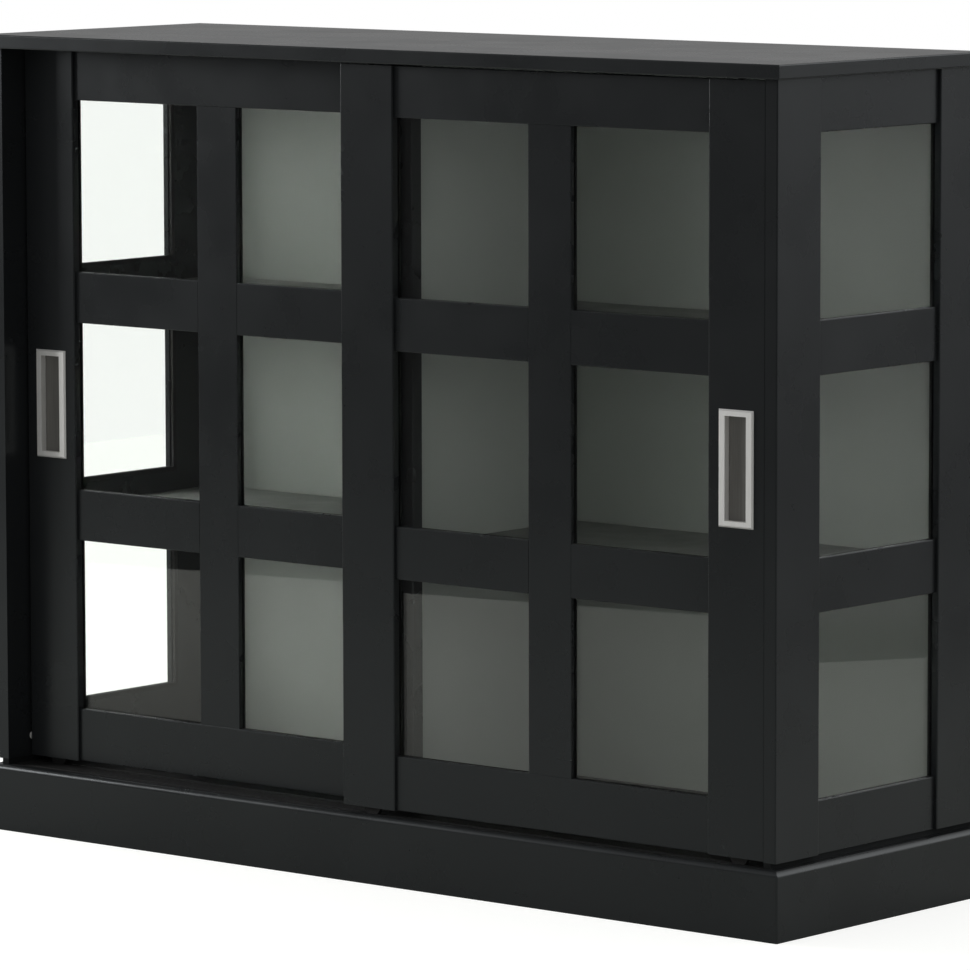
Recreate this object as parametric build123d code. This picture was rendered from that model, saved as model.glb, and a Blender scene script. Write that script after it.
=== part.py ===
from build123d import *
import os

# Low media cabinet on a plinth: glazed side frames and two glazed bypass doors on rollers.
# Millimetres, +Z up, front towards -Y, origin on the floor under the middle of the cabinet.

# Overall size
overall_width = 1100.0
overall_depth = 354.0
overall_height = 880.0

# Top panel and the ledge that the top and the plinth make round the body
top_thickness = 15.0
top_edge_radius = 1.5
overhang = 8.0

# Plinth and bottom panel
plinth_height = 73.0
plinth_board = 18.0
plinth_edge_radius = 6.0
plinth_corner_radius = 2.0
bottom_thickness = 15.0
corner_block_leg = 45.0
corner_block_floor_gap = 4.0

# Side frames
side_thickness = 15.0
side_stile_width = 72.0
side_rail_recess = 4.0
side_bottom_rail_height = 61.0
side_top_rail_height = 56.0
foot_rebate_depth = 6.0
foot_rebate_height = 6.0

# Middle rails, at the same heights on the doors and the side frames
middle_rail_height = 56.0
lower_rail_centre = 353.0
upper_rail_centre = 593.0

# Doors
door_thickness = 15.0
door_stile_width = 72.0
door_bottom_rail_height = 58.0
door_top_rail_height = 54.0
door_rail_recess = 3.5
mullion_width = 57.0
door_setback = 1.0
door_passing_gap = 18.0
door_overlap = 70.0
door_floor_gap = 7.0
door_head_gap = 2.0
left_door_ajar = 1.8

# Glass and what holds it
glass_thickness = 4.0
glass_clearance = 1.0
rebate_width = 5.0
door_rebate_depth = 6.5
side_rebate_depth = 7.5

# Joinery
tenon_thickness = 5.0
tenon_length = 10.0
tenon_shoulder = 8.0
stub_tenon_height = 6.0
housing_groove_depth = 4.0
stile_edge_radius = 1.5
rail_edge_radius = 1.0

# Back panel, divider and shelves
back_thickness = 5.0
back_rebate = 7.0
back_clearance = 0.5
divider_thickness = 15.0
divider_setback = 5.0
shelf_thickness = 15.0
shelf_drop = 6.5
shelf_setback = 7.0
shelf_end_clearance = 1.0
shelf_back_clearance = 2.0
shelf_edge_radius = 1.0

# Shelf supports
support_pin_diameter = 5.0
support_pin_depth = 6.0
support_hole_clearance = 0.05
support_inset = 25.0
support_tab_width = 10.0
support_tab_reach = 9.0
support_tab_height = 9.0
support_tab_thickness = 2.0

# Flush pulls
pull_width = 44.0
pull_height = 119.0
pull_centre_height = 474.0
pull_side_rim = 8.5
pull_end_rim = 6.5
pull_plate = 2.0
pull_bevel = 1.6
pull_wall = 1.0
pull_depth = 6.5
pull_pocket_clearance = 0.2

# Rollers under the doors and guide pins on top of them
roller_diameter = 24.0
roller_width = 4.0
roller_side_clearance = 0.4
roller_tread_gap = 0.3
roller_tread_chamfer = 0.6
trunnion_diameter = 4.0
trunnion_length = 2.0
trunnion_clearance = 0.05
roller_housing_wall = 2.4
roller_housing_room = 1.0
roller_housing_radius = 6.0
roller_flange_length = 8.0
roller_flange_thickness = 2.0
guide_pin_diameter = 8.0
guide_pin_depth = 14.0
guide_pin_reach = 6.2
guide_pin_chamfer = 1.2
guide_pin_clearance = 0.05

# Tracks let into the bottom panel and the top panel
track_margin = 6.0
track_end_clearance = 0.5
bottom_track_thickness = 5.0
bottom_groove_depth = 3.2
bottom_groove_play = 0.7
top_track_thickness = 8.0
top_groove_depth = 6.5
top_groove_play = 0.5

# Bumpers let into the posts
bumper_diameter = 9.0
bumper_depth = 1.7
bumper_proud = 0.3
bumper_edge_radius = 0.2
bumper_gap = 0.2
bumper_setback = 4.5
bumper_above_door_foot = 21.0

# Planes of the body
half_width = overall_width / 2
half_depth = overall_depth / 2
body_half = half_width - overhang
inner_half = body_half - side_thickness
body_front = overhang - half_depth
back_face = half_depth
back_inner = back_face - back_thickness
floor_top = plinth_height
floor_under = plinth_height - bottom_thickness
top_under = overall_height - top_thickness

# Planes of the doors
front_lane = body_front + door_setback
lane_pitch = door_thickness + door_passing_gap
rear_lane = front_lane + lane_pitch
doors_back = rear_lane + door_thickness
door_bottom = floor_top + door_floor_gap
door_top = top_under - door_head_gap
door_height = door_top - door_bottom
door_end_gap = bumper_proud + bumper_gap
opening_width = 2 * inner_half
door_width = (opening_width - 2 * door_end_gap + door_overlap) / 2
door_travel = opening_width - 2 * door_end_gap - door_width
left_door_start = door_end_gap + left_door_ajar - inner_half
bumper_height = door_bottom + bumper_above_door_foot
right_door_start = inner_half - door_end_gap - door_width

# Heights of the rails, from the bottom up, and of the windows between them
lower_rail = (lower_rail_centre - middle_rail_height / 2, lower_rail_centre + middle_rail_height / 2)
upper_rail = (upper_rail_centre - middle_rail_height / 2, upper_rail_centre + middle_rail_height / 2)
door_rails = {
    "bottom_rail": (door_bottom, door_bottom + door_bottom_rail_height),
    "lower_rail": lower_rail,
    "upper_rail": upper_rail,
    "top_rail": (door_top - door_top_rail_height, door_top),
}
side_rails = {
    "bottom_rail": (floor_top, floor_top + side_bottom_rail_height),
    "lower_rail": lower_rail,
    "upper_rail": upper_rail,
    "top_rail": (top_under - side_top_rail_height, top_under),
}
mullion_z = (door_rails["bottom_rail"][1], door_rails["top_rail"][0])
side_window = (body_front + side_stile_width, back_face - side_stile_width)

# Shelves lie behind the middle rails, a little under their centres
shelf_levels = {"lower": lower_rail_centre - shelf_drop, "upper": upper_rail_centre - shelf_drop}
divider_front = doors_back + divider_setback
shelf_front = doors_back + shelf_setback
shelf_back = back_inner - shelf_back_clearance
support_places = (side_window[0] + support_inset, side_window[1] - support_inset)

# Tracks and rollers
lane_centres = (front_lane + door_thickness / 2, rear_lane + door_thickness / 2)
bottom_groove_half = roller_width / 2 + bottom_groove_play
top_groove_half = guide_pin_diameter / 2 + top_groove_play
track_front = lane_centres[0] - track_margin
track_back = lane_centres[1] + track_margin
roller_radius = roller_diameter / 2
roller_centre_z = floor_top - bottom_groove_depth + roller_tread_gap + roller_radius
housing_half_length = roller_radius + roller_housing_room + roller_housing_wall
housing_half_width = roller_width / 2 + roller_side_clearance + roller_housing_wall
housing_top = roller_centre_z + roller_radius + roller_housing_room + roller_housing_wall


def block(x_span, y_span, z_span):
    """A box between two x, two y and two z values."""
    sizes = [high - low for low, high in (x_span, y_span, z_span)]
    corner = Pos(x_span[0], y_span[0], z_span[0])
    return corner * Box(*sizes, align=(Align.MIN, Align.MIN, Align.MIN))


def around(centre, half):
    """The span of a given half width about a centre."""
    return (centre - half, centre + half)


def grown(span, amount):
    """A span made longer by the same amount at both ends."""
    return (span[0] - amount, span[1] + amount)


def edges_at(solid, along, across, place):
    """The edges that run along one axis at a given place on another axis."""
    return solid.edges().filter_by(along).filter_by_position(across, place - 0.01, place + 0.01)


def pin_along_y(radius, y_span, x, z):
    """A round pin between two y values."""
    length = y_span[1] - y_span[0]
    return Pos(x, sum(y_span) / 2, z) * Rot(90, 0, 0) * Cylinder(radius, length)


def pin_along_x(radius, x_span, y, z):
    """A round pin between two x values."""
    length = x_span[1] - x_span[0]
    return Pos(sum(x_span) / 2, y, z) * Rot(0, 90, 0) * Cylinder(radius, length)


def pin_along_z(radius, z_span, x, y):
    """A round pin between two z values."""
    length = z_span[1] - z_span[0]
    return Pos(x, y, sum(z_span) / 2) * Cylinder(radius, length)


def rows_between(rails):
    """The window spans between neighbouring rails, from the bottom up."""
    spans = list(rails.values())
    return [(below[1], above[0]) for below, above in zip(spans, spans[1:])]


def left_of(shape):
    """The mirror image of a right-hand piece, for the left-hand side."""
    return mirror(shape, about=Plane.YZ)


# Side frames, made on the right and mirrored


def side_tenon_x():
    return around(inner_half + (side_thickness - side_rail_recess) / 2, tenon_thickness / 2)


def side_rail_tenon(rail):
    """The tongue that runs through a side rail into both stiles."""
    return block(side_tenon_x(), grown(side_window, tenon_length), grown(rail, -tenon_shoulder))


def side_stile_stubs(y_span):
    """The stub tenons that seat a side stile in the bottom and top panels."""
    x_span = side_tenon_x()
    width = grown(y_span, -tenon_shoulder)
    foot = block(x_span, width, (floor_top - stub_tenon_height, floor_top))
    head = block(x_span, width, (top_under, top_under + stub_tenon_height))
    return [foot, head]


def side_glass_rebates():
    """Pockets cut in the inner face of the side frame, one round each window."""
    x_span = (inner_half, inner_half + side_rebate_depth)
    y_span = grown(side_window, rebate_width)
    return [block(x_span, y_span, grown(row, rebate_width)) for row in rows_between(side_rails)]


def foot_rebate():
    """The shadow gap along the foot of the side frame."""
    x_span = (body_half - foot_rebate_depth, body_half)
    return block(x_span, (body_front, back_face), (floor_top, floor_top + foot_rebate_height))


def side_stile(y_span):
    stile = block((inner_half, body_half), y_span, (floor_top, top_under))
    stile = fillet(edges_at(stile, Axis.Z, Axis.X, body_half), stile_edge_radius)
    stile = stile + side_stile_stubs(y_span)
    cuts = [side_rail_tenon(rail) for rail in side_rails.values()] + side_glass_rebates()
    return stile - cuts - [foot_rebate()]


def side_front_stile(lane_front):
    """The front stile is the post that a door closes on, with a socket for its bumper."""
    return side_stile(front_stile_y) - bumper_disc(lane_front, 0)


def side_rear_stile():
    """The rear stile has a rebate for the back panel."""
    rebate = block((inner_half, inner_half + back_rebate), (back_inner, back_face), (floor_top, top_under))
    return side_stile(rear_stile_y) - rebate


def side_rail(name):
    rail = side_rails[name]
    outer_face = body_half - side_rail_recess
    solid = block((inner_half, outer_face), side_window, rail)
    solid = fillet(edges_at(solid, Axis.Y, Axis.X, outer_face), rail_edge_radius)
    solid = solid + side_rail_tenon(rail) - side_glass_rebates() - [foot_rebate()]
    level = {"lower_rail": "lower", "upper_rail": "upper"}.get(name)
    if level:
        solid = solid - support_holes(level, inner_half, 1)
    return solid


def side_pane(row):
    """A pane that lies in the rebates of the side frame."""
    lap = rebate_width - glass_clearance
    front = inner_half + side_rebate_depth
    return block((front - glass_thickness, front), grown(side_window, lap), grown(row, lap))


def side_bead(row):
    """The flat frame that closes the rebates behind a side pane."""
    x_span = (inner_half, inner_half + side_rebate_depth - glass_thickness)
    outside = block(x_span, grown(side_window, rebate_width), grown(row, rebate_width))
    return outside - block(x_span, side_window, row)


front_stile_y = (body_front, side_window[0])
rear_stile_y = (side_window[1], back_face)


# Shelf supports, shared by the side rails, the divider and the pins


def support_height(level):
    """The height of the support pins, under the shelf and its tab."""
    shelf_under = shelf_levels[level] - shelf_thickness / 2
    return shelf_under - support_tab_height / 2


def support_holes(level, face, inward):
    """Holes in a face at x, cut towards +x or -x."""
    radius = support_pin_diameter / 2 + support_hole_clearance
    x_span = sorted((face, face + inward * support_pin_depth))
    return [pin_along_x(radius, x_span, y, support_height(level)) for y in support_places]


def support_pin(level, face, inward, y):
    """A pin with an angle tab that the shelf rests on."""
    height = support_height(level)
    shelf_under = shelf_levels[level] - shelf_thickness / 2
    tab_y = around(y, support_tab_width / 2)
    plate_x = sorted((face, face - inward * support_tab_thickness))
    seat_x = sorted((face, face - inward * support_tab_reach))
    plate = block(plate_x, tab_y, (shelf_under - support_tab_height, shelf_under))
    seat = block(seat_x, tab_y, (shelf_under - support_tab_thickness, shelf_under))
    pin_x = sorted((face - inward * support_tab_thickness, face + inward * support_pin_depth))
    return plate + seat + pin_along_x(support_pin_diameter / 2, pin_x, y, height)


def shelf_pins():
    """Four supports for each shelf: two on the side frame, two on the divider."""
    divider_face = divider_thickness / 2
    pins = []
    for level in shelf_levels:
        for y in support_places:
            right = [support_pin(level, inner_half, 1, y), support_pin(level, divider_face, -1, y)]
            pins += right + [left_of(pin) for pin in right]
    return Compound(children=pins)


def shelf(level):
    """The right-hand shelf at a level."""
    x_span = grown((divider_thickness / 2, inner_half), -shelf_end_clearance)
    z_span = around(shelf_levels[level], shelf_thickness / 2)
    board = block(x_span, (shelf_front, shelf_back), z_span)
    return fillet(edges_at(board, Axis.X, Axis.Y, shelf_front), shelf_edge_radius)


# Divider, back, top, bottom and plinth


def divider_blank():
    """The divider with the edges that sit in the grooves of the top and bottom panels."""
    x_span = around(0, divider_thickness / 2)
    z_span = (floor_top - housing_groove_depth, top_under + housing_groove_depth)
    return block(x_span, (divider_front, back_inner), z_span)


def centre_divider():
    face = divider_thickness / 2
    holes = []
    for level in shelf_levels:
        right = support_holes(level, face, -1)
        holes += right + [left_of(hole) for hole in right]
    return divider_blank() - holes


def back_panel():
    x_span = around(0, inner_half + back_rebate - back_clearance)
    return block(x_span, (back_inner, back_face), (floor_under, top_under))


def stile_stub_mortises():
    right = side_stile_stubs(front_stile_y) + side_stile_stubs(rear_stile_y)
    return right + [left_of(stub) for stub in right]


def top_panel():
    panel = block(around(0, half_width), around(0, half_depth), (top_under, overall_height))
    rims = edges_at(panel, Axis.X, Axis.Z, overall_height) + edges_at(panel, Axis.X, Axis.Z, top_under)
    ends = edges_at(panel, Axis.Y, Axis.Z, overall_height) + edges_at(panel, Axis.Y, Axis.Z, top_under)
    panel = fillet(rims + ends, top_edge_radius)
    recess = top_track_blank(0)
    return panel - [recess, divider_blank()] - stile_stub_mortises()


def bottom_panel():
    panel = block(around(0, body_half), (body_front, back_face), (floor_under, floor_top))
    back_seat = block(around(0, inner_half + back_rebate), (back_inner, back_face), (floor_under, floor_top))
    recess = bottom_track_blank(0)
    return panel - [back_seat, recess, divider_blank()] - stile_stub_mortises()


def plinth_profile():
    """Section of a plinth board: outward face at 0, rounded top edge, seat for the bottom panel."""
    top_edge = (0, plinth_height)
    outline = Polyline(
        (0, 0),
        top_edge,
        (overhang, plinth_height),
        (overhang, floor_under),
        (plinth_board, floor_under),
        (plinth_board, 0),
        close=True,
    )
    section = make_face(outline)
    return fillet(section.vertices().sort_by_distance(top_edge)[0], plinth_edge_radius)


def mitre_prism(points):
    """A tall prism whose plan holds a board and its mitred ends, with the plinth's front corners rounded."""
    prism = extrude(make_face(Polyline(*points, close=True)), plinth_height)
    envelope = block(around(0, half_width), (-half_depth, back_face), (0, plinth_height))
    return prism & fillet(edges_at(envelope, Axis.Z, Axis.Y, -half_depth), plinth_corner_radius)


def plinth_front():
    section = Plane((-half_width, -half_depth, 0), x_dir=(0, 1, 0), z_dir=(1, 0, 0)) * plinth_profile()
    board = extrude(section, overall_width)
    inner_y = plinth_board - half_depth
    inner_x = half_width - plinth_board
    plan = [(-half_width, -half_depth), (half_width, -half_depth), (inner_x, inner_y), (-inner_x, inner_y)]
    return board & mitre_prism(plan)


def plinth_right():
    section = Plane((half_width, -half_depth, 0), x_dir=(-1, 0, 0), z_dir=(0, 1, 0)) * plinth_profile()
    board = extrude(section, overall_depth)
    inner_x = half_width - plinth_board
    plan = [(half_width, -half_depth), (half_width, back_face), (inner_x, back_face)]
    plan.append((inner_x, plinth_board - half_depth))
    return board & mitre_prism(plan)


def plinth_back():
    x_span = around(0, half_width - plinth_board)
    return block(x_span, (back_face - plinth_board, back_face), (0, floor_under))


def plinth_corner_blocks():
    """Glue blocks in the corners of the plinth, under the bottom panel."""
    x = half_width - plinth_board
    blocks = []
    for y, step in ((plinth_board - half_depth, 1), (back_face - plinth_board, -1)):
        corner = [(x, y), (x, y + step * corner_block_leg), (x - corner_block_leg, y)]
        plan = make_face(Polyline(*corner, close=True))
        right = Pos(0, 0, corner_block_floor_gap) * extrude(plan, floor_under - corner_block_floor_gap, dir=(0, 0, 1))
        blocks += [right, left_of(right)]
    return Compound(children=blocks)


# Tracks and bumpers


def bottom_track_blank(end_clearance):
    z_span = (floor_top - bottom_track_thickness, floor_top)
    return block(around(0, inner_half - end_clearance), (track_front, track_back), z_span)


def top_track_blank(end_clearance):
    z_span = (top_under, top_under + top_track_thickness)
    return block(around(0, inner_half - end_clearance), (track_front, track_back), z_span)


def bottom_track():
    z_span = (floor_top - bottom_groove_depth, floor_top)
    grooves = [block(around(0, inner_half), around(y, bottom_groove_half), z_span) for y in lane_centres]
    return bottom_track_blank(track_end_clearance) - grooves


def top_track():
    z_span = (top_under, top_under + top_groove_depth)
    grooves = [block(around(0, inner_half), around(y, top_groove_half), z_span) for y in lane_centres]
    return top_track_blank(track_end_clearance) - grooves


def bumper_disc(lane_front, proud):
    """The disc in the right-hand post beside the foot of a door, standing proud of the post."""
    x_span = (inner_half - proud, inner_half + bumper_depth)
    return pin_along_x(bumper_diameter / 2, x_span, lane_front + bumper_setback, bumper_height)


def bumper(lane_front):
    """A bumper with its outer edge rounded."""
    disc = bumper_disc(lane_front, bumper_proud)
    rim = disc.edges().filter_by(GeomType.CIRCLE).sort_by(Axis.X)[0]
    return fillet(rim, bumper_edge_radius)


def door_bumpers():
    """Bumpers where each door closes: the front door on the right, the rear door on the left."""
    return Compound(children=[bumper(front_lane), left_of(bumper(rear_lane))])


# Doors


class Door:
    """One sliding door, placed by its left end, its front face and the stile that carries its pull."""

    def __init__(self, start, front, pull_on_left):
        self.start = start
        self.front = front
        self.end = start + door_width
        self.back = front + door_thickness
        self.rail_face = front + door_rail_recess
        self.middle = start + door_width / 2
        self.lane = front + door_thickness / 2
        self.left_stile_x = (start, start + door_stile_width)
        self.right_stile_x = (self.end - door_stile_width, self.end)
        self.rail_x = (self.left_stile_x[1], self.right_stile_x[0])
        self.mullion_x = around(self.middle, mullion_width / 2)
        self.columns = [(self.rail_x[0], self.mullion_x[0]), (self.mullion_x[1], self.rail_x[1])]
        self.tenon_y = (self.rail_face + rail_edge_radius, self.rail_face + rail_edge_radius + tenon_thickness)
        self.lap_y = (self.rail_face + self.back) / 2
        self.stile_centres = [sum(self.left_stile_x) / 2, sum(self.right_stile_x) / 2]
        self.pull_x = self.stile_centres[0] if pull_on_left else self.stile_centres[1]

    def windows(self):
        return [(column, row) for column in self.columns for row in rows_between(door_rails)]

    def glass_rebates(self):
        """Pockets cut in the back of the frame, one round each window."""
        y_span = (self.back - door_rebate_depth, self.back)
        return [
            block(grown(column, rebate_width), y_span, grown(row, rebate_width))
            for column, row in self.windows()
        ]

    def rail_tenon(self, rail):
        return block(grown(self.rail_x, tenon_length), self.tenon_y, grown(rail, -tenon_shoulder))

    def mullion_tenon(self):
        z_span = grown(mullion_z, tenon_length)
        return block(grown(self.mullion_x, -tenon_shoulder), self.tenon_y, z_span)

    def housing_pocket(self, x):
        """The square-cornered pocket in the foot of a stile that takes a roller housing."""
        y_span = around(self.lane, housing_half_width)
        shell = block(around(x, housing_half_length), y_span, (door_bottom, housing_top))
        flange_z = (door_bottom, door_bottom + roller_flange_thickness)
        return shell + block(around(x, housing_half_length + roller_flange_length), y_span, flange_z)

    def guide_hole(self, x):
        radius = guide_pin_diameter / 2 + guide_pin_clearance
        return pin_along_z(radius, (door_top - guide_pin_depth, door_top), x, self.lane)

    def pull_block(self, margin, y_span):
        """A block about the opening of the pull, larger than it by a margin all round."""
        x_span = around(self.pull_x, pull_width / 2 - pull_side_rim + margin)
        z_span = around(pull_centre_height, pull_height / 2 - pull_end_rim + margin)
        return block(x_span, y_span, z_span)

    def pull_pocket(self):
        return self.pull_block(pull_wall + pull_pocket_clearance, (self.front, self.front + pull_depth))

    def stile(self, x_span):
        stile = block(x_span, (self.front, self.back), (door_bottom, door_top))
        stile = fillet(edges_at(stile, Axis.Z, Axis.Y, self.front), stile_edge_radius)
        x = sum(x_span) / 2
        cuts = self.glass_rebates() + [self.rail_tenon(rail) for rail in door_rails.values()]
        cuts += [self.housing_pocket(x), self.guide_hole(x)]
        if x == self.pull_x:
            cuts.append(self.pull_pocket())
        return stile - cuts

    def rail(self, name):
        """A rail with tenons; a middle rail passes behind the mullion in a half lap."""
        span = door_rails[name]
        rail = block(self.rail_x, (self.rail_face, self.back), span)
        rail = fillet(edges_at(rail, Axis.X, Axis.Y, self.rail_face), rail_edge_radius)
        rail = rail + self.rail_tenon(span)
        if name in ("lower_rail", "upper_rail"):
            joint = block(self.mullion_x, (self.rail_face, self.lap_y), span)
        else:
            joint = self.mullion_tenon()
        return rail - [joint] - self.glass_rebates()

    def mullion(self):
        """The upright bar, which passes in front of the middle rails."""
        bar = block(self.mullion_x, (self.rail_face, self.back), mullion_z)
        bar = fillet(edges_at(bar, Axis.Z, Axis.Y, self.rail_face), rail_edge_radius)
        laps = [block(self.mullion_x, (self.lap_y, self.back), rail) for rail in (lower_rail, upper_rail)]
        return bar + self.mullion_tenon() - laps - self.glass_rebates()

    def panes(self):
        lap = rebate_width - glass_clearance
        front = self.back - door_rebate_depth
        y_span = (front, front + glass_thickness)
        return Compound(
            children=[block(grown(column, lap), y_span, grown(row, lap)) for column, row in self.windows()]
        )

    def beads(self):
        """Flat frames that close the rebates behind the glass."""
        y_span = (self.back - door_rebate_depth + glass_thickness, self.back)
        rings = []
        for column, row in self.windows():
            outside = block(grown(column, rebate_width), y_span, grown(row, rebate_width))
            rings.append(outside - block(column, y_span, row))
        return Compound(children=rings)

    def pull(self):
        """A flush pull: a bevelled rim plate round a shallow cup, which fills the pocket in the stile."""
        face = self.front - pull_plate
        back = self.front + pull_depth
        plate = block(
            around(self.pull_x, pull_width / 2),
            (face, self.front),
            around(pull_centre_height, pull_height / 2),
        )
        plate = chamfer(plate.faces().sort_by(Axis.Y)[0].edges(), pull_bevel)
        cup = self.pull_block(pull_wall, (self.front, back))
        return plate + cup - self.pull_block(0, (face, back - pull_wall))

    def roller_housings(self):
        """Moulded housings with a slot for the roller and bores for its trunnions."""
        slot_half_width = roller_width / 2 + roller_side_clearance
        slot_half_length = roller_radius + roller_housing_room
        slot_top = roller_centre_z + roller_radius + roller_housing_room
        housings = []
        for x in self.stile_centres:
            slot = block(around(x, slot_half_length), around(self.lane, slot_half_width), (door_bottom, slot_top))
            bore_radius = trunnion_diameter / 2 + trunnion_clearance
            bore = pin_along_y(bore_radius, around(self.lane, housing_half_width), x, roller_centre_z)
            shell = self.housing_pocket(x)
            shell = fillet(edges_at(shell, Axis.Y, Axis.Z, housing_top), roller_housing_radius)
            housings.append(shell - [slot, bore])
        return Compound(children=housings)

    def top_guides(self):
        """Nylon pins that stand out of the top of the stiles into the top track."""
        pins = []
        for x in self.stile_centres:
            z_span = (door_top - guide_pin_depth, door_top + guide_pin_reach)
            pin = pin_along_z(guide_pin_diameter / 2, z_span, x, self.lane)
            pins.append(chamfer(pin.faces().sort_by(Axis.Z)[-1].edges(), guide_pin_chamfer))
        return Compound(children=pins)

    def roller(self, x):
        """A roller with its trunnions in one piece."""
        wheel = pin_along_y(roller_radius, around(self.lane, roller_width / 2), x, roller_centre_z)
        wheel = chamfer(wheel.edges().filter_by(GeomType.CIRCLE), roller_tread_chamfer)
        half_length = roller_width / 2 + roller_side_clearance + trunnion_length
        return wheel + pin_along_y(trunnion_diameter / 2, around(self.lane, half_length), x, roller_centre_z)


def door_nodes(name, door):
    nodes = {
        "left_stile": door.stile(door.left_stile_x),
        "right_stile": door.stile(door.right_stile_x),
        "mullion": door.mullion(),
        "panes": door.panes(),
        "glass_beads": door.beads(),
        "pull": door.pull(),
        "roller_housings": door.roller_housings(),
        "top_guides": door.top_guides(),
        "left_roller": door.roller(door.stile_centres[0]),
        "right_roller": door.roller(door.stile_centres[1]),
    }
    nodes.update({rail: door.rail(rail) for rail in door_rails})
    return {f"{name}_{piece}": solid for piece, solid in nodes.items()}


def side_nodes():
    """Both side frames, which differ only in the socket for the bumper."""
    shared = {
        "rear_stile": side_rear_stile(),
        "panes": Compound(children=[side_pane(row) for row in rows_between(side_rails)]),
    }
    shared.update({rail: side_rail(rail) for rail in side_rails})
    nodes = {
        "right_side_front_stile": side_front_stile(front_lane),
        "left_side_front_stile": left_of(side_front_stile(rear_lane)),
    }
    for piece, solid in shared.items():
        nodes[f"right_side_{piece}"] = solid
        nodes[f"left_side_{piece}"] = left_of(solid)
    return nodes


def carcass_nodes():
    beads = [side_bead(row) for row in rows_between(side_rails)]
    nodes = {
        "top_panel": top_panel(),
        "bottom_panel": bottom_panel(),
        "back_panel": back_panel(),
        "centre_divider": centre_divider(),
        "shelf_pins": shelf_pins(),
        "side_glass_beads": Compound(children=beads + [left_of(ring) for ring in beads]),
        "plinth_front": plinth_front(),
        "plinth_right": plinth_right(),
        "plinth_left": left_of(plinth_right()),
        "plinth_back": plinth_back(),
        "plinth_corner_blocks": plinth_corner_blocks(),
        "top_track": top_track(),
        "bottom_track": bottom_track(),
        "door_bumpers": door_bumpers(),
    }
    for level in shelf_levels:
        nodes[f"right_shelf_{level}"] = shelf(level)
        nodes[f"left_shelf_{level}"] = left_of(shelf(level))
    return nodes


all_nodes = carcass_nodes() | side_nodes()
all_nodes |= door_nodes("left_door", Door(left_door_start, rear_lane, pull_on_left=True))
all_nodes |= door_nodes("right_door", Door(right_door_start, front_lane, pull_on_left=False))

os.makedirs("parts", exist_ok=True)
for node_name, node in all_nodes.items():
    export_step(node, f"parts/{node_name}.step")
print(len(all_nodes), "nodes; door width", round(door_width, 2), "door travel", round(door_travel, 2))
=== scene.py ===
import math

import bpy
from mathutils import Matrix, Vector


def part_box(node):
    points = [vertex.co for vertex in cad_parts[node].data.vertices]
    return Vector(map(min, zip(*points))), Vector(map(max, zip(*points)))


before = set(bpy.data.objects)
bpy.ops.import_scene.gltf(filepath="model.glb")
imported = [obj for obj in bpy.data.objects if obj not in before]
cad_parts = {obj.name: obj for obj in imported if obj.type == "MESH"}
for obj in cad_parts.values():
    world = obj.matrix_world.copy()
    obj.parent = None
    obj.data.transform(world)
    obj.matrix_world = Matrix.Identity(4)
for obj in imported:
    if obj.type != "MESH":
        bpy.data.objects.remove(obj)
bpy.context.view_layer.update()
scene = bpy.context.scene
scene.view_settings.view_transform = "Standard"

# Node helpers

X, Y, Z = range(3)
NOISE_LOW, NOISE_HIGH = 0.3, 0.7  # nearly all values of a noise lie between these
COLOUR_A, COLOUR_B, COLOUR_RESULT = 6, 7, 2  # sockets of a mix node that mixes colours


class Nodes:
    """Short ways to build a node tree, where an input takes a socket or a plain number."""

    def __init__(self, tree):
        self.tree = tree

    def node(self, kind, **settings):
        made = self.tree.nodes.new(kind)
        for key, value in settings.items():
            setattr(made, key, value)
        return made

    def join(self, source, target):
        if isinstance(source, bpy.types.NodeSocket):
            self.tree.links.new(source, target)
        else:
            target.default_value = source

    def math(self, operation, *values):
        made = self.node("ShaderNodeMath", operation=operation)
        for value, socket in zip(values, made.inputs):
            self.join(value, socket)
        return made.outputs["Value"]

    def ramp(self, value, start, end, low, high, shape="LINEAR"):
        """Low up to the start, high from the end on."""
        made = self.node("ShaderNodeMapRange", interpolation_type=shape)
        given = {"Value": value, "From Min": start, "From Max": end, "To Min": low, "To Max": high}
        for name, source in given.items():
            self.join(source, made.inputs[name])
        return made.outputs["Result"]

    def split(self, vector):
        made = self.node("ShaderNodeSeparateXYZ")
        self.join(vector, made.inputs["Vector"])
        return made.outputs


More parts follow.
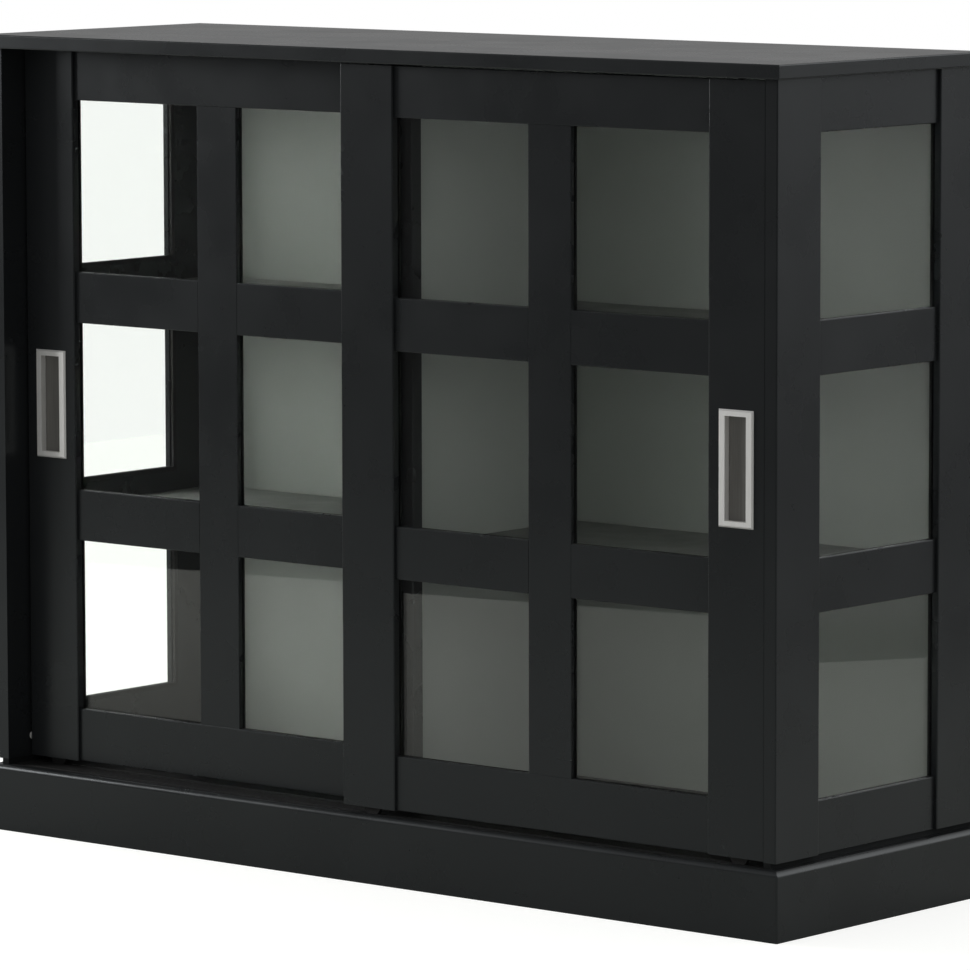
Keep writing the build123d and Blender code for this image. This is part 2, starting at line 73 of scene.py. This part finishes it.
class Material(Nodes):
    """A material with one principled shader, textured in the object's own coordinates."""

    def __init__(self, name):
        self.material = bpy.data.materials.new(name)
        self.material.use_nodes = True
        super().__init__(self.material.node_tree)
        self.shader = self.tree.nodes["Principled BSDF"]
        self.place = self.node("ShaderNodeTexCoord").outputs["Object"]

    def set(self, **constants):
        for key, value in constants.items():
            self.shader.inputs[key.replace("_", " ")].default_value = value

    def drive(self, socket, value):
        self.join(value, self.shader.inputs[socket])

    def stretched(self, scale):
        mapping = self.node("ShaderNodeMapping")
        mapping.inputs["Scale"].default_value = scale
        self.join(self.place, mapping.inputs["Vector"])
        return mapping.outputs["Vector"]

    def noise(self, scale, detail=2.0, roughness=0.5, stretch=None):
        made = self.node("ShaderNodeTexNoise")
        made.inputs["Scale"].default_value = scale
        made.inputs["Detail"].default_value = detail
        made.inputs["Roughness"].default_value = roughness
        source = self.stretched(stretch) if stretch else self.place
        self.join(source, made.inputs["Vector"])
        return made.outputs["Fac"]

    def spread(self, noise, low, high):
        """A noise drawn out to run from low to high."""
        return self.ramp(noise, NOISE_LOW, NOISE_HIGH, low, high)

    def colours(self, noise, first, second):
        """A noise that runs from the first colour to the second."""
        made = self.node("ShaderNodeValToRGB")
        made.color_ramp.elements[0].position = NOISE_LOW
        made.color_ramp.elements[1].position = NOISE_HIGH
        made.color_ramp.elements[0].color = (*first, 1.0)
        made.color_ramp.elements[1].color = (*second, 1.0)
        self.join(noise, made.inputs["Fac"])
        return made.outputs["Color"]

    def mix(self, mask, first, second):
        made = self.node("ShaderNodeMix", data_type="RGBA")
        self.join(mask, made.inputs["Factor"])
        self.join(first, made.inputs[COLOUR_A])
        self.join(second, made.inputs[COLOUR_B])
        return made.outputs[COLOUR_RESULT]

    def bump(self, height, strength, distance):
        made = self.node("ShaderNodeBump")
        made.inputs["Strength"].default_value = strength
        made.inputs["Distance"].default_value = distance
        self.join(height, made.inputs["Height"])
        self.join(made.outputs["Normal"], self.shader.inputs["Normal"])


def along(axis, fine, coarse):
    """Stretch factors that draw a noise out along one axis."""
    return tuple(coarse if index == axis else fine for index in range(3))


# Materials: two tones for each surface, in linear colour

LACQUER = (0.0080, 0.0087, 0.0094), (0.0102, 0.0110, 0.0118)
LACQUER_SHEEN = (0.90, 0.97, 1.0, 1.0)
# Near-black painted shade for the foot rebate of the side frames
REBATE_PAINTED_SHADE = (0.0014, 0.0014, 0.0014), (0.002, 0.002, 0.002)
BLACK_BOARD = (0.007, 0.007, 0.0074), (0.0115, 0.0115, 0.012)
GREY_BOARD = (0.26, 0.28, 0.26), (0.285, 0.305, 0.285)
# The divider is a lighter copy of the grey board: painted light on its face
DIVIDER_BOARD_PAINTED_LIGHT = (0.46, 0.485, 0.46), (0.49, 0.515, 0.49)
# The shelves are a darker copy of the grey board: painted shade on them
SHELF_BOARD_PAINTED_SHADE = (0.165, 0.175, 0.165), (0.185, 0.195, 0.185)
GLASS = (0.972, 0.992, 0.970), (0.982, 0.996, 0.980)
BRIGHT_NICKEL = (0.90, 0.895, 0.88), (0.96, 0.955, 0.94)
# Darker nickel used as painted shade on the floor of the pull's cup
NICKEL_PAINTED_SHADE = (0.17, 0.165, 0.155), (0.23, 0.225, 0.215)
STEEL = (0.50, 0.50, 0.49), (0.60, 0.60, 0.58)
BLACK_PLASTIC = (0.004, 0.004, 0.004), (0.007, 0.007, 0.007)
SOFT_BUMPER = (0.42, 0.42, 0.40), (0.50, 0.50, 0.48)

SATIN, DULL = (0.25, 0.31), (0.60, 0.68)  # roughness of the lacquer

# Where painted shade darkens part of one piece, in metres: it fades from the first distance to the second
REBATE_DEPTH = (0.0050, 0.0010)  # behind the side frame's face
REBATE_HEIGHT = (0.0061, 0.0064)  # above the side frame's foot
CUP_FLOOR = (0.0014, 0.0011)  # in front of the pull's back


def foot_rebate_shade(made):
    """One in the foot rebate of a side frame, where painted shade darkens the lacquer, nought on its lacquered
    faces.
    """
    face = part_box("right_side_rear_stile")[1][X]
    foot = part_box("right_side_bottom_rail")[0][Z]
    place = made.split(made.place)
    across = made.math("ABSOLUTE", place["X"])
    behind = made.ramp(across, face - REBATE_DEPTH[0], face - REBATE_DEPTH[1], 1.0, 0.0)
    low = made.ramp(place["Z"], foot + REBATE_HEIGHT[0], foot + REBATE_HEIGHT[1], 1.0, 0.0)
    return made.math("MULTIPLY", behind, low)


def lacquer(name, axis, shaded_rebate=False, dullness=SATIN, specular=0.5):
    """Satin black lacquer: faint cloudiness, sprayed texture and the board's grain just showing through."""
    made = Material(name)
    colour = made.colours(made.noise(scale=5.0, detail=3.0), *LACQUER)
    gloss = made.spread(made.noise(scale=9.0, detail=4.0, roughness=0.6), *dullness)
    if shaded_rebate:
        # Painted shade: the foot rebate is coloured near black and made fully rough, standing in for the shade
        # in that recess
        rebate_shade = foot_rebate_shade(made)
        colour = made.mix(rebate_shade, colour, made.colours(made.noise(scale=60.0), *REBATE_PAINTED_SHADE))
        gloss = made.math("MAXIMUM", gloss, rebate_shade)
    made.drive("Base Color", colour)
    made.drive("Roughness", gloss)
    drawn_out = along(axis, fine=420.0, coarse=9.0)
    grain = made.spread(made.noise(scale=1.0, detail=3.0, roughness=0.6, stretch=drawn_out), low=0.0, high=0.6)
    peel = made.spread(made.noise(scale=700.0), low=0.0, high=1.0)
    made.bump(made.math("ADD", grain, peel), strength=0.05, distance=0.0004)
    made.set(Specular_IOR_Level=specular, Specular_Tint=LACQUER_SHEEN)
    return made.material


def board(name, tones):
    """Faced board: slightly mottled, with a fine even texture."""
    made = Material(name)
    made.drive("Base Color", made.colours(made.noise(scale=8.0, detail=4.0), *tones))
    made.drive("Roughness", made.spread(made.noise(scale=30.0, detail=4.0), low=0.45, high=0.58))
    made.bump(made.noise(scale=900.0, detail=3.0), strength=0.08, distance=0.0003)
    made.set(Specular_IOR_Level=0.3)
    return made.material


def glass(name):
    """Clear float glass, slightly green."""
    made = Material(name)
    made.drive("Base Color", made.colours(made.noise(scale=3.0), *GLASS))
    made.set(Transmission_Weight=1.0, IOR=1.5, Roughness=0.0)
    return made.material


def nickel(name, pull):
    """Satin nickel, brushed along its length; the floor of the cup is coloured darker, as painted shade in the
    recess.
    """
    made = Material(name)
    brushed = made.noise(scale=1.0, roughness=0.6, stretch=along(Z, fine=2600.0, coarse=30.0))
    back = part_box(pull)[1][Y]
    # Painted shade: the cup's floor fades to the darker nickel towards the pull's back
    inside = made.ramp(made.split(made.place)["Y"], back - CUP_FLOOR[0], back - CUP_FLOOR[1], 0.0, 1.0)
    bright, cup_shade = made.colours(brushed, *BRIGHT_NICKEL), made.colours(brushed, *NICKEL_PAINTED_SHADE)
    made.drive("Base Color", made.mix(inside, bright, cup_shade))
    made.drive("Roughness", made.spread(brushed, low=0.48, high=0.58))
    made.bump(brushed, strength=0.04, distance=0.0002)
    made.set(Metallic=0.85)
    return made.material


def steel(name):
    """Nickel-plated steel of the shelf supports."""
    made = Material(name)
    cloud = made.noise(scale=300.0, detail=3.0)
    made.drive("Base Color", made.colours(cloud, *STEEL))
    made.drive("Roughness", made.spread(cloud, low=0.25, high=0.4))
    made.set(Metallic=1.0)
    return made.material


def plastic(name, tones, low, high):
    """Moulded plastic with a fine spark-eroded texture, between two roughnesses."""
    made = Material(name)
    made.drive("Base Color", made.colours(made.noise(scale=40.0, detail=3.0), *tones))
    made.drive("Roughness", made.spread(made.noise(scale=220.0, detail=3.0), low, high))
    made.bump(made.noise(scale=2400.0), strength=0.10, distance=0.0002)
    return made.material


upright = lacquer("black_lacquer_upright", Z)
side_upright = lacquer("black_lacquer_side_stile", Z, shaded_rebate=True)
side_depthwise = lacquer("black_lacquer_side_rail", Y, shaded_rebate=True)
lengthwise = lacquer("black_lacquer_lengthwise", X)
dull_lengthwise = lacquer("black_lacquer_bottom", X, dullness=DULL, specular=0.2)
depthwise = lacquer("black_lacquer_depthwise", Y)
black_board = board("black_board", BLACK_BOARD)
grey_board = board("grey_board", GREY_BOARD)
divider_board_painted_light = board("divider_board_painted_light", DIVIDER_BOARD_PAINTED_LIGHT)
shelf_board_painted_shade = board("shelf_board_painted_shade", SHELF_BOARD_PAINTED_SHADE)
clear_glass = glass("clear_glass")
left_nickel = nickel("satin_nickel_left", "left_door_pull")
right_nickel = nickel("satin_nickel_right", "right_door_pull")
support_steel = steel("support_steel")
black_plastic = plastic("black_plastic", BLACK_PLASTIC, low=0.5, high=0.65)
soft_bumper = plastic("soft_bumper", SOFT_BUMPER, low=0.45, high=0.6)

# The first word that is in a node's name decides
rules = [
    ("panes", clear_glass),
    ("left_door_pull", left_nickel),
    ("right_door_pull", right_nickel),
    ("roller", black_plastic),
    ("top_guides", black_plastic),
    ("glass_beads", black_plastic),
    ("track", black_plastic),
    ("bumpers", soft_bumper),
    ("pins", support_steel),
    ("back_panel", grey_board),
    ("divider", divider_board_painted_light),
    ("shelf", shelf_board_painted_shade),
    ("plinth_back", black_board),
    ("corner_blocks", black_board),
    ("side_front_stile", side_upright),
    ("side_rear_stile", side_upright),
    ("side_bottom_rail", side_depthwise),
    ("stile", upright),
    ("mullion", upright),
    ("bottom_panel", dull_lengthwise),
    ("plinth_left", depthwise),
    ("plinth_right", depthwise),
    ("_side_", depthwise),
]


def material_for(name):
    for word, material in rules:
        if word in name:
            return material
    return lengthwise


for name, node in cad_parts.items():
    node.data.materials.clear()
    node.data.materials.append(material_for(name))

# Floor: a plain pale sheet, white to the eye and greyer in reflections, with the cabinet's own soft shadow

FLOOR_CORNERS = [(-3.2, -1.64, 0.0), (4.6, -3.0, 0.0), (0.0, 4.0, 0.0), (-3.2, 4.0, 0.0)]
FLOOR_COLOUR = (0.38, 0.385, 0.36, 1.0)
FLOOR_GLOW, FLOOR_GLOW_GLAZED = 0.75, 0.9  # to the eye, and through a pane


class Stage(Nodes):
    """Nodes of the floor and the world, with masks for the ways in which a ray arrives."""

    def __init__(self, tree):
        super().__init__(tree)
        path = self.node("ShaderNodeLightPath").outputs
        self.glazed = path["Is Transmission Ray"]
        through = self.math("MAXIMUM", path["Is Camera Ray"], self.glazed)
        bounced = self.math("GREATER_THAN", path["Glossy Depth"], 0.5)
        scattered = self.math("GREATER_THAN", path["Diffuse Depth"], 0.5)
        direct = self.math("SUBTRACT", 1.0, scattered)
        self.seen = self.both(self.both(through, direct), self.math("SUBTRACT", 1.0, bounced))
        self.mirrored = self.both(self.both(path["Is Glossy Ray"], direct), bounced)
        self.inside = self.both(self.glazed, scattered)

    def both(self, first, second):
        return self.math("MULTIPLY", first, second)

    def fade(self, value, start, end, low, high):
        return self.ramp(value, start, end, low, high, shape="SMOOTHSTEP")

    def choose(self, mask, off, on):
        """Off where the mask is nought, on where it is one."""
        kept = self.math("MULTIPLY", off, self.math("SUBTRACT", 1.0, mask))
        return self.math("ADD", kept, self.math("MULTIPLY", on, mask))


def floor_material():
    material = bpy.data.materials.new("floor")
    material.use_nodes = True
    material.node_tree.nodes.clear()
    stage = Stage(material.node_tree)
    matt = stage.node("ShaderNodeBsdfDiffuse")
    matt.inputs["Color"].default_value = FLOOR_COLOUR
    glow = stage.node("ShaderNodeEmission")
    plain = stage.choose(stage.glazed, FLOOR_GLOW, FLOOR_GLOW_GLAZED)
    stage.join(stage.both(stage.seen, plain), glow.inputs["Strength"])
    added = stage.node("ShaderNodeAddShader")
    stage.join(matt.outputs["BSDF"], added.inputs[0])
    stage.join(glow.outputs["Emission"], added.inputs[1])
    output = stage.node("ShaderNodeOutputMaterial")
    stage.join(added.outputs["Shader"], output.inputs["Surface"])
    return material


floor_mesh = bpy.data.meshes.new("floor")
floor_mesh.from_pydata(FLOOR_CORNERS, [], [(0, 1, 2, 3)])
floor_mesh.materials.append(floor_material())
floor = bpy.data.objects.new("floor", floor_mesh)
scene.collection.objects.link(floor)

# Light: an even white surround, which mirrors as a pale back wall and a dim room in front, and one soft lamp

WHITE, WHITE_GLAZED = 1.0, 1.15  # to the eye, and through a pane
OUTSIDE_LIGHT = 0.8
WINDOW = (-0.94, -0.17, 0.29)  # where most of the light on the inside comes from
LAMP_PLACE, LAMP_TARGET = Vector((-2.9, -1.3, 1.3)), Vector((-0.1, -0.15, 0.5))
LAMP_SIDE, LAMP_POWER = 0.9, 46.0

world = bpy.data.worlds.new("studio")
scene.world = world
world.use_nodes = True
stage = Stage(world.node_tree)
around = stage.node("ShaderNodeTexCoord").outputs["Generated"]
direction = stage.split(around)

behind = stage.fade(direction["Y"], start=-0.25, end=0.35, low=0.0, high=1.0)
wall = stage.fade(direction["X"], start=-0.2, end=0.65, low=0.44, high=2.0)
wall_foot = stage.fade(direction["Z"], start=-0.138, end=-0.132, low=0.02, high=0.09)
wall_height = stage.fade(direction["Z"], start=-0.05, end=0.08, low=0.0, high=0.82)
front = stage.fade(direction["Z"], start=-0.02, end=0.30, low=0.05, high=0.18)
room = stage.choose(behind, front, stage.math("MULTIPLY", wall, stage.math("ADD", wall_foot, wall_height)))

towards = stage.node("ShaderNodeVectorMath", operation="DOT_PRODUCT")
towards.inputs[1].default_value = WINDOW
stage.join(around, towards.inputs[0])
slanting = stage.fade(towards.outputs["Value"], start=0.3, end=0.98, low=1.6, high=9.4)

unseen = stage.choose(stage.mirrored, stage.choose(stage.inside, OUTSIDE_LIGHT, slanting), room)
plain = stage.choose(stage.glazed, WHITE, WHITE_GLAZED)
surround = world.node_tree.nodes["Background"]
surround.inputs["Color"].default_value = (1.0, 1.0, 1.0, 1.0)
stage.join(stage.choose(stage.seen, unseen, plain), surround.inputs["Strength"])

lamp = bpy.data.lights.new("key", "AREA")
lamp.shape = "RECTANGLE"
lamp.size = lamp.size_y = LAMP_SIDE
lamp.energy = LAMP_POWER
lamp_object = bpy.data.objects.new("key", lamp)
scene.collection.objects.link(lamp_object)
lamp_object.location = LAMP_PLACE
lamp_object.rotation_euler = (LAMP_TARGET - LAMP_PLACE).to_track_quat("-Z", "Y").to_euler()
lamp_object.visible_camera = False
lamp_object.visible_transmission = False

# Camera: fitted to the photograph's straight edges

AZIMUTH, PITCH, ROLL = math.radians(40.06), math.radians(6.577), math.radians(-0.12)
CAMERA_PLACE = (4.4312, -5.2448, 1.1989)
PICTURE_PIXELS, FOCAL_PIXELS, FILM_MM = 970.0, 6463.5, 36.0
FAR_CLIP = 200.0

back = Vector((math.sin(AZIMUTH) * math.cos(PITCH), -math.cos(AZIMUTH) * math.cos(PITCH), math.sin(PITCH)))
level = Vector((math.cos(AZIMUTH), math.sin(AZIMUTH), 0.0))
right = math.cos(ROLL) * level + math.sin(ROLL) * back.cross(level)
up = back.cross(right)
camera = bpy.data.cameras.new("camera")
camera.sensor_width = FILM_MM
camera.lens = FOCAL_PIXELS / PICTURE_PIXELS * FILM_MM
camera.clip_end = FAR_CLIP
camera_object = bpy.data.objects.new("camera", camera)
scene.collection.objects.link(camera_object)
turned = Matrix((right, up, back)).transposed().to_4x4()
camera_object.matrix_world = Matrix.Translation(CAMERA_PLACE) @ turned
scene.camera = camera_object
